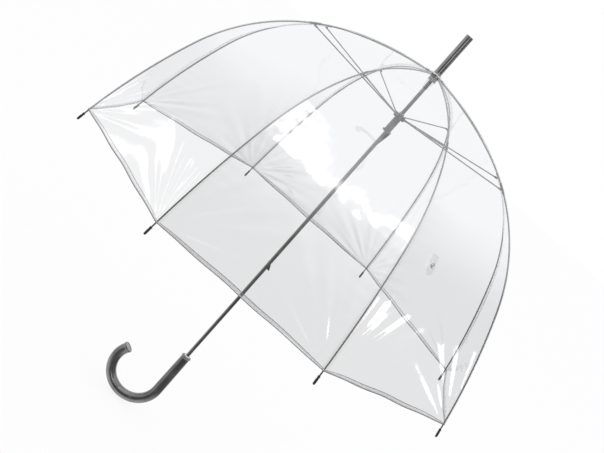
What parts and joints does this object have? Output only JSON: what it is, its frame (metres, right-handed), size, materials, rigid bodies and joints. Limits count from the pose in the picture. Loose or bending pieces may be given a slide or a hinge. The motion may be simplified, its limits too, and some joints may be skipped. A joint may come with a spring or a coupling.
{
  "type": "umbrella",
  "caption": "Clear dome stick umbrella standing open: curved ribs and stretchers on a shaft with a sliding runner, film gores, long ferrule and hook handle.",
  "frame": {"origin": "on the shaft's axis, at the middle of the handle's straight grip", "axes": "+Z along the shaft to the ferrule; the hook turns towards -X and the catches stand out on +X; +Y completes the frame"},
  "size_m": [0.7928, 0.7928, 0.9113],
  "materials": {
    "shaft_steel": "polished drawn tube",
    "ferrule_metal": "polished",
    "white_plastic": "moulded",
    "clear_film": "clear soft film, glossy",
    "notch_metal": "moulded, dark",
    "wire": "drawn wire",
    "runner_plastic": "moulded, mid grey",
    "catch_steel": "blackened spring steel",
    "handle_gunmetal": "gunmetal lacquer on a moulded core",
    "pin_metal": "drawn pin",
    "rib_steel": "dark lacquered wire, black caps",
    "snap_metal": "pressed, satin"
  },
  "bodies": {
    "shaft": {"shaft_tube": "shaft_steel", "ferrule": "ferrule_metal", "ferrule_plug": "ferrule_metal", "crown_washer": "white_plastic", "crown_patch": "clear_film", "crown_notch": "notch_metal", "crown_wire": "wire", "runner_stop": "shaft_steel", "catch_pins": "shaft_steel", "handle": "handle_gunmetal", "handle_pin": "pin_metal", "handle_end_cap": "handle_gunmetal"},
    "runner": {"runner": "runner_plastic", "runner_wire": "wire"},
    "top_catch": {"top_catch": "catch_steel"},
    "bottom_catch": {"bottom_catch": "catch_steel"},
    "rib_1_inner": {"rib_1_inner": "rib_steel"},
    "rib_1_outer": {"rib_1_outer": "rib_steel"},
    "stretcher_1": {"stretcher_1": "rib_steel"},
    "rib_2_inner": {"rib_2_inner": "rib_steel"},
    "rib_2_outer": {"rib_2_outer": "rib_steel"},
    "stretcher_2": {"stretcher_2": "rib_steel"},
    "rib_3_inner": {"rib_3_inner": "rib_steel"},
    "rib_3_outer": {"rib_3_outer": "rib_steel"},
    "stretcher_3": {"stretcher_3": "rib_steel"},
    "rib_4_inner": {"rib_4_inner": "rib_steel"},
    "rib_4_outer": {"rib_4_outer": "rib_steel"},
    "stretcher_4": {"stretcher_4": "rib_steel"},
    "rib_5_inner": {"rib_5_inner": "rib_steel"},
    "rib_5_outer": {"rib_5_outer": "rib_steel"},
    "stretcher_5": {"stretcher_5": "rib_steel"},
    "rib_6_inner": {"rib_6_inner": "rib_steel"},
    "rib_6_outer": {"rib_6_outer": "rib_steel"},
    "stretcher_6": {"stretcher_6": "rib_steel"},
    "rib_7_inner": {"rib_7_inner": "rib_steel"},
    "rib_7_outer": {"rib_7_outer": "rib_steel"},
    "stretcher_7": {"stretcher_7": "rib_steel"},
    "rib_8_inner": {"rib_8_inner": "rib_steel"},
    "rib_8_outer": {"rib_8_outer": "rib_steel"},
    "stretcher_8": {"stretcher_8": "rib_steel"},
    "gore_1_upper": {"gore_1_upper": "clear_film"},
    "gore_1_lower": {"gore_1_lower": "clear_film"},
    "gore_2_upper": {"gore_2_upper": "clear_film"},
    "gore_2_lower": {"gore_2_lower": "clear_film"},
    "gore_3_upper": {"gore_3_upper": "clear_film"},
    "gore_3_lower": {"gore_3_lower": "clear_film"},
    "gore_4_upper": {"gore_4_upper": "clear_film"},
    "gore_4_lower": {"gore_4_lower": "clear_film"},
    "gore_5_upper": {"gore_5_upper": "clear_film"},
    "gore_5_lower": {"gore_5_lower": "clear_film"},
    "gore_6_upper": {"gore_6_upper": "clear_film"},
    "gore_6_lower": {"gore_6_lower": "clear_film"},
    "gore_7_upper": {"gore_7_upper": "clear_film"},
    "gore_7_lower": {"gore_7_lower": "clear_film"},
    "gore_8_upper": {"gore_8_upper": "clear_film"},
    "gore_8_lower": {"gore_8_lower": "clear_film", "tie_strap": "clear_film", "strap_snap": "snap_metal"}
  },
  "joints": [
    {"name": "runner_slide", "type": "slide", "parent": "shaft", "child": "runner", "axis": [0, 0, -1], "range_m": [0, 0.3317], "deforming": ["top_catch", "bottom_catch"]},
    {"name": "rib_1_crown_hinge", "type": "hinge", "parent": "shaft", "child": "rib_1_inner", "pos_m": [0.01478, 0.00612, 0.719], "axis": [-0.3827, 0.9239, 0], "range_deg": [0, 64.7]},
    {"name": "rib_1_knee", "type": "hinge", "parent": "rib_1_inner", "child": "rib_1_outer", "pos_m": [0.2642, 0.10944, 0.60895], "axis": [-0.3827, 0.9239, 0], "range_deg": [-38.16, 0]},
    {"name": "stretcher_1_hinge", "type": "hinge", "parent": "runner", "child": "stretcher_1", "pos_m": [0.00746, 0.00666, 0.628], "axis": [-0.3827, 0.9239, 0], "range_deg": [-73.22, 0]},
    {"name": "rib_2_crown_hinge", "type": "hinge", "parent": "shaft", "child": "rib_2_inner", "pos_m": [0.00612, 0.01478, 0.719], "axis": [-0.9239, 0.3827, 0], "range_deg": [0, 64.7]},
    {"name": "rib_2_knee", "type": "hinge", "parent": "rib_2_inner", "child": "rib_2_outer", "pos_m": [0.10944, 0.2642, 0.60895], "axis": [-0.9239, 0.3827, 0], "range_deg": [-38.16, 0]},
    {"name": "stretcher_2_hinge", "type": "hinge", "parent": "runner", "child": "stretcher_2", "pos_m": [0.00056, 0.00998, 0.628], "axis": [-0.9239, 0.3827, 0], "range_deg": [-73.22, 0]},
    {"name": "rib_3_crown_hinge", "type": "hinge", "parent": "shaft", "child": "rib_3_inner", "pos_m": [-0.00612, 0.01478, 0.719], "axis": [-0.9239, -0.3827, 0], "range_deg": [0, 64.7]},
    {"name": "rib_3_knee", "type": "hinge", "parent": "rib_3_inner", "child": "rib_3_outer", "pos_m": [-0.10944, 0.2642, 0.60895], "axis": [-0.9239, -0.3827, 0], "range_deg": [-38.16, 0]},
    {"name": "stretcher_3_hinge", "type": "hinge", "parent": "runner", "child": "stretcher_3", "pos_m": [-0.00666, 0.00746, 0.628], "axis": [-0.9239, -0.3827, 0], "range_deg": [-73.22, 0]},
    {"name": "rib_4_crown_hinge", "type": "hinge", "parent": "shaft", "child": "rib_4_inner", "pos_m": [-0.01478, 0.00612, 0.719], "axis": [-0.3827, -0.9239, 0], "range_deg": [0, 64.7]},
    {"name": "rib_4_knee", "type": "hinge", "parent": "rib_4_inner", "child": "rib_4_outer", "pos_m": [-0.2642, 0.10944, 0.60895], "axis": [-0.3827, -0.9239, 0], "range_deg": [-38.16, 0]},
    {"name": "stretcher_4_hinge", "type": "hinge", "parent": "runner", "child": "stretcher_4", "pos_m": [-0.00998, 0.00056, 0.628], "axis": [-0.3827, -0.9239, 0], "range_deg": [-73.22, 0]},
    {"name": "rib_5_crown_hinge", "type": "hinge", "parent": "shaft", "child": "rib_5_inner", "pos_m": [-0.01478, -0.00612, 0.719], "axis": [0.3827, -0.9239, 0], "range_deg": [0, 64.7]},
    {"name": "rib_5_knee", "type": "hinge", "parent": "rib_5_inner", "child": "rib_5_outer", "pos_m": [-0.2642, -0.10944, 0.60895], "axis": [0.3827, -0.9239, 0], "range_deg": [-38.16, 0]},
    {"name": "stretcher_5_hinge", "type": "hinge", "parent": "runner", "child": "stretcher_5", "pos_m": [-0.00746, -0.00666, 0.628], "axis": [0.3827, -0.9239, 0], "range_deg": [-73.22, 0]},
    {"name": "rib_6_crown_hinge", "type": "hinge", "parent": "shaft", "child": "rib_6_inner", "pos_m": [-0.00612, -0.01478, 0.719], "axis": [0.9239, -0.3827, 0], "range_deg": [0, 64.7]},
    {"name": "rib_6_knee", "type": "hinge", "parent": "rib_6_inner", "child": "rib_6_outer", "pos_m": [-0.10944, -0.2642, 0.60895], "axis": [0.9239, -0.3827, 0], "range_deg": [-38.16, 0]},
    {"name": "stretcher_6_hinge", "type": "hinge", "parent": "runner", "child": "stretcher_6", "pos_m": [-0.00056, -0.00998, 0.628], "axis": [0.9239, -0.3827, 0], "range_deg": [-73.22, 0]},
    {"name": "rib_7_crown_hinge", "type": "hinge", "parent": "shaft", "child": "rib_7_inner", "pos_m": [0.00612, -0.01478, 0.719], "axis": [0.9239, 0.3827, 0], "range_deg": [0, 64.7]},
    {"name": "rib_7_knee", "type": "hinge", "parent": "rib_7_inner", "child": "rib_7_outer", "pos_m": [0.10944, -0.2642, 0.60895], "axis": [0.9239, 0.3827, 0], "range_deg": [-38.16, 0]},
    {"name": "stretcher_7_hinge", "type": "hinge", "parent": "runner", "child": "stretcher_7", "pos_m": [0.00666, -0.00746, 0.628], "axis": [0.9239, 0.3827, 0], "range_deg": [-73.22, 0]},
    {"name": "rib_8_crown_hinge", "type": "hinge", "parent": "shaft", "child": "rib_8_inner", "pos_m": [0.01478, -0.00612, 0.719], "axis": [0.3827, 0.9239, 0], "range_deg": [0, 64.7]},
    {"name": "rib_8_knee", "type": "hinge", "parent": "rib_8_inner", "child": "rib_8_outer", "pos_m": [0.2642, -0.10944, 0.60895], "axis": [0.3827, 0.9239, 0], "range_deg": [-38.16, 0]},
    {"name": "stretcher_8_hinge", "type": "hinge", "parent": "runner", "child": "stretcher_8", "pos_m": [0.00998, -0.00056, 0.628], "axis": [0.3827, 0.9239, 0], "range_deg": [-73.22, 0]},
    {"name": "gore_1_crown_fold", "type": "hinge", "parent": "shaft", "child": "gore_1_upper", "pos_m": [0.01872, 0, 0.72104], "axis": [0, 1, 0], "range_deg": [0, 63.2], "deforming": ["gore_1_upper"]},
    {"name": "gore_1_waist_fold", "type": "hinge", "parent": "gore_1_upper", "child": "gore_1_lower", "pos_m": [0.2658, 0, 0.61075], "axis": [0, 1, 0], "range_deg": [-38.46, 0], "deforming": ["gore_1_lower"]},
    {"name": "gore_2_crown_fold", "type": "hinge", "parent": "shaft", "child": "gore_2_upper", "pos_m": [0.01324, 0.01324, 0.72104], "axis": [-0.7071, 0.7071, 0], "range_deg": [0, 63.2], "deforming": ["gore_2_upper"]},
    {"name": "gore_2_waist_fold", "type": "hinge", "parent": "gore_2_upper", "child": "gore_2_lower", "pos_m": [0.18795, 0.18795, 0.61075], "axis": [-0.7071, 0.7071, 0], "range_deg": [-38.46, 0], "deforming": ["gore_2_lower"]},
    {"name": "gore_3_crown_fold", "type": "hinge", "parent": "shaft", "child": "gore_3_upper", "pos_m": [0, 0.01872, 0.72104], "axis": [-1, 0, 0], "range_deg": [0, 63.2], "deforming": ["gore_3_upper"]},
    {"name": "gore_3_waist_fold", "type": "hinge", "parent": "gore_3_upper", "child": "gore_3_lower", "pos_m": [0, 0.2658, 0.61075], "axis": [-1, 0, 0], "range_deg": [-38.46, 0], "deforming": ["gore_3_lower"]},
    {"name": "gore_4_crown_fold", "type": "hinge", "parent": "shaft", "child": "gore_4_upper", "pos_m": [-0.01324, 0.01324, 0.72104], "axis": [-0.7071, -0.7071, 0], "range_deg": [0, 63.2], "deforming": ["gore_4_upper"]},
    {"name": "gore_4_waist_fold", "type": "hinge", "parent": "gore_4_upper", "child": "gore_4_lower", "pos_m": [-0.18795, 0.18795, 0.61075], "axis": [-0.7071, -0.7071, 0], "range_deg": [-38.46, 0], "deforming": ["gore_4_lower"]},
    {"name": "gore_5_crown_fold", "type": "hinge", "parent": "shaft", "child": "gore_5_upper", "pos_m": [-0.01872, 0, 0.72104], "axis": [0, -1, 0], "range_deg": [0, 63.2], "deforming": ["gore_5_upper"]},
    {"name": "gore_5_waist_fold", "type": "hinge", "parent": "gore_5_upper", "child": "gore_5_lower", "pos_m": [-0.2658, 0, 0.61075], "axis": [0, -1, 0], "range_deg": [-38.46, 0], "deforming": ["gore_5_lower"]},
    {"name": "gore_6_crown_fold", "type": "hinge", "parent": "shaft", "child": "gore_6_upper", "pos_m": [-0.01324, -0.01324, 0.72104], "axis": [0.7071, -0.7071, 0], "range_deg": [0, 63.2], "deforming": ["gore_6_upper"]},
    {"name": "gore_6_waist_fold", "type": "hinge", "parent": "gore_6_upper", "child": "gore_6_lower", "pos_m": [-0.18795, -0.18795, 0.61075], "axis": [0.7071, -0.7071, 0], "range_deg": [-38.46, 0], "deforming": ["gore_6_lower"]},
    {"name": "gore_7_crown_fold", "type": "hinge", "parent": "shaft", "child": "gore_7_upper", "pos_m": [0, -0.01872, 0.72104], "axis": [1, 0, 0], "range_deg": [0, 63.2], "deforming": ["gore_7_upper"]},
    {"name": "gore_7_waist_fold", "type": "hinge", "parent": "gore_7_upper", "child": "gore_7_lower", "pos_m": [0, -0.2658, 0.61075], "axis": [1, 0, 0], "range_deg": [-38.46, 0], "deforming": ["gore_7_lower"]},
    {"name": "gore_8_crown_fold", "type": "hinge", "parent": "shaft", "child": "gore_8_upper", "pos_m": [0.01324, -0.01324, 0.72104], "axis": [0.7071, 0.7071, 0], "range_deg": [0, 63.2], "deforming": ["gore_8_upper"]},
    {"name": "gore_8_waist_fold", "type": "hinge", "parent": "gore_8_upper", "child": "gore_8_lower", "pos_m": [0.18795, -0.18795, 0.61075], "axis": [0.7071, 0.7071, 0], "range_deg": [-38.46, 0], "deforming": ["gore_8_lower"]},
    {"name": "top_catch_press", "type": "hinge", "parent": "shaft", "child": "top_catch", "pos_m": [0.0014, 0, 0.557], "axis": [0, -1, 0], "range_deg": [0, 7.5], "stiffness_Nm_per_rad": 0.4, "springref_deg": -17.19},
    {"name": "bottom_catch_press", "type": "hinge", "parent": "shaft", "child": "bottom_catch", "pos_m": [0.0014, 0, 0.296], "axis": [0, 1, 0], "range_deg": [0, 9.5], "stiffness_Nm_per_rad": 0.4, "springref_deg": -17.19}
  ],
  "couplings": [
    {"joint": "rib_1_crown_hinge", "follows": "runner_slide", "rad_per_m": 3.4031},
    {"joint": "rib_1_knee", "follows": "runner_slide", "rad_per_m": -2.0067},
    {"joint": "stretcher_1_hinge", "follows": "runner_slide", "rad_per_m": -3.8515},
    {"joint": "rib_2_crown_hinge", "follows": "runner_slide", "rad_per_m": 3.4031},
    {"joint": "rib_2_knee", "follows": "runner_slide", "rad_per_m": -2.0067},
    {"joint": "stretcher_2_hinge", "follows": "runner_slide", "rad_per_m": -3.8515},
    {"joint": "rib_3_crown_hinge", "follows": "runner_slide", "rad_per_m": 3.4031},
    {"joint": "rib_3_knee", "follows": "runner_slide", "rad_per_m": -2.0067},
    {"joint": "stretcher_3_hinge", "follows": "runner_slide", "rad_per_m": -3.8515},
    {"joint": "rib_4_crown_hinge", "follows": "runner_slide", "rad_per_m": 3.4031},
    {"joint": "rib_4_knee", "follows": "runner_slide", "rad_per_m": -2.0067},
    {"joint": "stretcher_4_hinge", "follows": "runner_slide", "rad_per_m": -3.8515},
    {"joint": "rib_5_crown_hinge", "follows": "runner_slide", "rad_per_m": 3.4031},
    {"joint": "rib_5_knee", "follows": "runner_slide", "rad_per_m": -2.0067},
    {"joint": "stretcher_5_hinge", "follows": "runner_slide", "rad_per_m": -3.8515},
    {"joint": "rib_6_crown_hinge", "follows": "runner_slide", "rad_per_m": 3.4031},
    {"joint": "rib_6_knee", "follows": "runner_slide", "rad_per_m": -2.0067},
    {"joint": "stretcher_6_hinge", "follows": "runner_slide", "rad_per_m": -3.8515},
    {"joint": "rib_7_crown_hinge", "follows": "runner_slide", "rad_per_m": 3.4031},
    {"joint": "rib_7_knee", "follows": "runner_slide", "rad_per_m": -2.0067},
    {"joint": "stretcher_7_hinge", "follows": "runner_slide", "rad_per_m": -3.8515},
    {"joint": "rib_8_crown_hinge", "follows": "runner_slide", "rad_per_m": 3.4031},
    {"joint": "rib_8_knee", "follows": "runner_slide", "rad_per_m": -2.0067},
    {"joint": "stretcher_8_hinge", "follows": "runner_slide", "rad_per_m": -3.8515},
    {"joint": "gore_1_crown_fold", "follows": "runner_slide", "rad_per_m": 3.3246},
    {"joint": "gore_1_waist_fold", "follows": "runner_slide", "rad_per_m": -2.0227},
    {"joint": "gore_2_crown_fold", "follows": "runner_slide", "rad_per_m": 3.3246},
    {"joint": "gore_2_waist_fold", "follows": "runner_slide", "rad_per_m": -2.0227},
    {"joint": "gore_3_crown_fold", "follows": "runner_slide", "rad_per_m": 3.3246},
    {"joint": "gore_3_waist_fold", "follows": "runner_slide", "rad_per_m": -2.0227},
    {"joint": "gore_4_crown_fold", "follows": "runner_slide", "rad_per_m": 3.3246},
    {"joint": "gore_4_waist_fold", "follows": "runner_slide", "rad_per_m": -2.0227},
    {"joint": "gore_5_crown_fold", "follows": "runner_slide", "rad_per_m": 3.3246},
    {"joint": "gore_5_waist_fold", "follows": "runner_slide", "rad_per_m": -2.0227},
    {"joint": "gore_6_crown_fold", "follows": "runner_slide", "rad_per_m": 3.3246},
    {"joint": "gore_6_waist_fold", "follows": "runner_slide", "rad_per_m": -2.0227},
    {"joint": "gore_7_crown_fold", "follows": "runner_slide", "rad_per_m": 3.3246},
    {"joint": "gore_7_waist_fold", "follows": "runner_slide", "rad_per_m": -2.0227},
    {"joint": "gore_8_crown_fold", "follows": "runner_slide", "rad_per_m": 3.3246},
    {"joint": "gore_8_waist_fold", "follows": "runner_slide", "rad_per_m": -2.0227}
  ]
}
